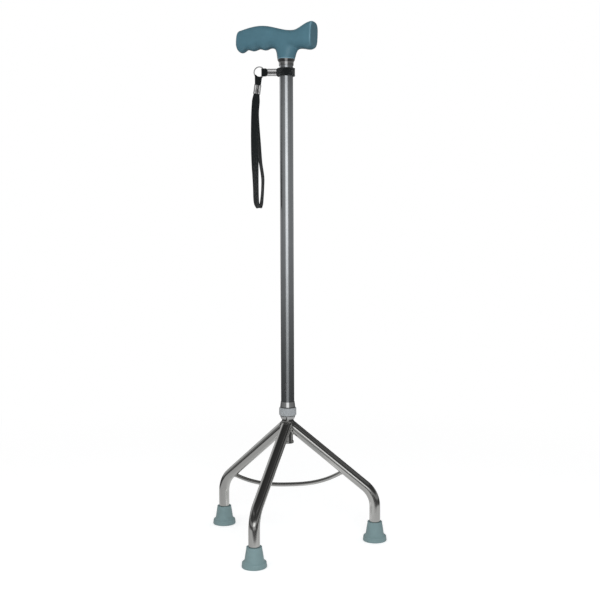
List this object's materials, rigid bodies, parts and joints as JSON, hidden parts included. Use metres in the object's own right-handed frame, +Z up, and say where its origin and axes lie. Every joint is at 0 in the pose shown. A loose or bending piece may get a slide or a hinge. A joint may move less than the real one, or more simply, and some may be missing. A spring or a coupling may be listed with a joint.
{
  "type": "walking cane",
  "caption": "Height-adjustable walking cane on a splayed tripod base, with a moulded finger-groove handle, twist-lock nut, rubber feet and a wrist strap.",
  "frame": {"origin": "on the floor, in the middle of the footprint of the three feet; the shaft's axis stands 0.051 m behind it, at y = +0.050699 m", "axes": "+Z up along the shaft, +X from the shaft's axis towards the handle's nose, -Y towards the foot of the front leg"},
  "size_m": [0.316, 0.2282, 0.8509],
  "materials": {
    "leg_chrome": "polished chrome plate",
    "foot_rubber": "satin moulded rubber",
    "washer_steel": "zinc-plated",
    "shaft_metal": "polished grey plate",
    "bright_chrome": "bright chrome plate",
    "nut_metal": "matt, knurled",
    "rivet_metal": "plain",
    "nylon": "moulded nylon",
    "handle_plastic": "satin moulded",
    "webbing": "woven black webbing",
    "crimp_metal": "plated, pressed"
  },
  "bodies": {
    "base": {"center_post": "leg_chrome", "post_end_plug": "leg_chrome", "leg_front": "leg_chrome", "leg_left": "leg_chrome", "leg_right": "leg_chrome", "brace_rod": "leg_chrome", "foot_front": "foot_rubber", "foot_left": "foot_rubber", "foot_right": "foot_rubber", "foot_washer_front": "washer_steel", "foot_washer_left": "washer_steel", "foot_washer_right": "washer_steel", "post_guide_bush": "nylon"},
    "shaft": {"shaft_tube": "shaft_metal", "lock_ferrule": "bright_chrome", "lock_collet": "nylon", "key_rivets": "rivet_metal", "handle": "handle_plastic", "handle_trim_ring": "bright_chrome"},
    "lock_nut": {"lock_nut": "nut_metal", "nut_cone": "bright_chrome"},
    "collar": {"strap_collar": "webbing", "collar_crimp": "crimp_metal"},
    "ring": {"d_ring": "bright_chrome"},
    "wrist": {"ring_tab": "webbing", "wrist_crimp": "crimp_metal", "wrist_strap": "webbing"}
  },
  "joints": [
    {"name": "height_slide", "type": "slide", "parent": "base", "child": "shaft", "axis": [0, 0, 1], "range_m": [0, 0.1]},
    {"name": "nut_turn", "type": "hinge", "parent": "shaft", "child": "lock_nut", "pos_m": [0, 0.0507, 0.218], "axis": [0, 0, -1], "range_deg": [0, 360]},
    {"name": "collar_turn", "type": "hinge", "parent": "shaft", "child": "collar", "pos_m": [0, 0.0507, 0.7733], "axis": [0, 0, 1], "continuous": true},
    {"name": "ring_turn", "type": "hinge", "parent": "collar", "child": "ring", "pos_m": [-0.03608, 0.03757, 0.7733], "axis": [0, 0, 1], "range_deg": [-80, 80]},
    {"name": "strap_swing", "type": "hinge", "parent": "ring", "child": "wrist", "pos_m": [-0.04078, 0.03585, 0.7733], "axis": [-0.342, 0.9397, 0], "range_deg": [-5, 90]}
  ]
}
